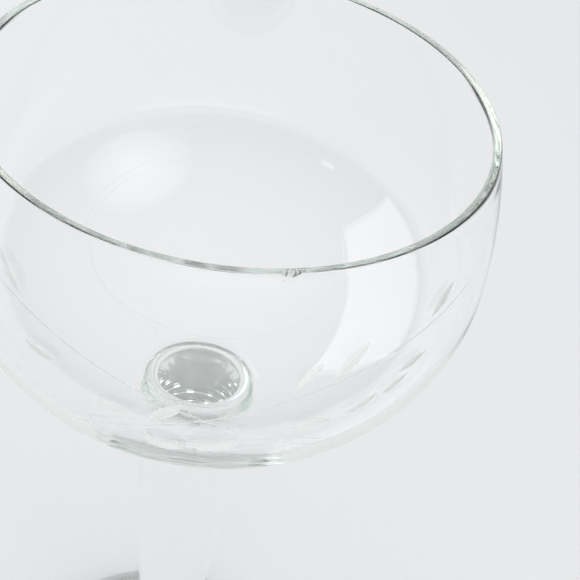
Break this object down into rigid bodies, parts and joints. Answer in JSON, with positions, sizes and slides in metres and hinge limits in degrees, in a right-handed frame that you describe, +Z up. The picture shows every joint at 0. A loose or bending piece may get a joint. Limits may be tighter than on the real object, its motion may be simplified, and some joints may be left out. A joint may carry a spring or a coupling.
{
  "type": "stemmed cocktail glass",
  "caption": "Clear stemmed cocktail glass with a deep rounded bowl, a shouldered tapering stem, a round foot, and engraved crossing leaf sprays; the rim has a small chip.",
  "frame": {"origin": "centre of the foot's resting plane, on the glass's axis", "axes": "+Z up along the axis from the foot to the rim; -Y is the side with the chip and the middle of the first engraved spray"},
  "size_m": [0.0962, 0.0962, 0.17],
  "materials": {
    "clear_glass": "clear soda-lime glass, fire-polished, with matt wheel-cut engraving and one rough chip"
  },
  "bodies": {
    "root": {"bowl": "clear_glass", "stem": "clear_glass", "foot": "clear_glass"}
  },
  "joints": []
}
